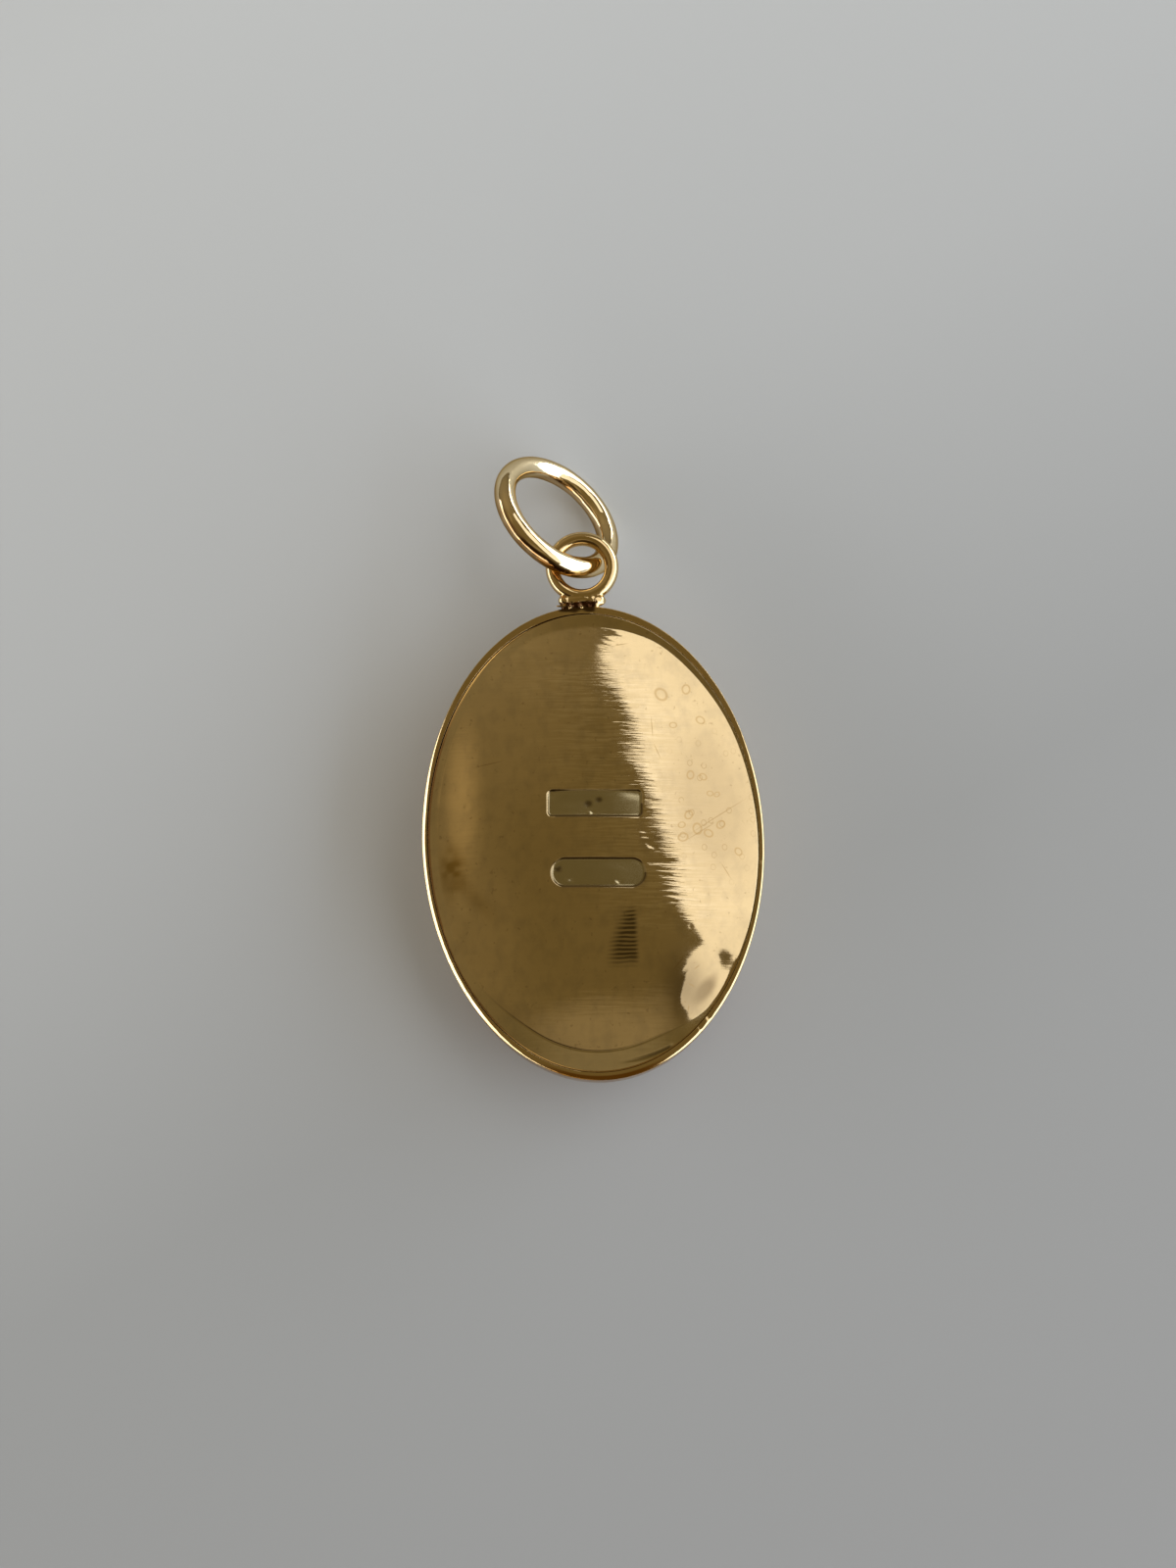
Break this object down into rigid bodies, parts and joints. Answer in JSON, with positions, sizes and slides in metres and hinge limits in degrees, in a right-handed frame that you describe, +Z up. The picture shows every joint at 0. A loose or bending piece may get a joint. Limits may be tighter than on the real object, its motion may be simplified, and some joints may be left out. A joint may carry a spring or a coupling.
{
  "type": "oval charm pendant",
  "caption": "Hollow puffed oval charm with a domed back, a soldered hanging loop and a round jump ring, lying face down.",
  "frame": {"origin": "centre of the flat front field, on the surface that the charm lies on", "axes": "+Z up through the domed back, +Y along the long axis toward the hanging loop, +X to the right seen from the back"},
  "size_m": [0.02, 0.038, 0.0066],
  "materials": {
    "shell_gold": "polished gold with a worn lip and rough solder at the loop",
    "plate_gold": "polished gold with fine polishing scratches, dents and dull sunk stamp fields",
    "ring_gold": "bright polished pale gold wire"
  },
  "bodies": {
    "root": {"front_shell": "shell_gold", "back_plate": "plate_gold", "jump_ring": "ring_gold"}
  },
  "joints": []
}
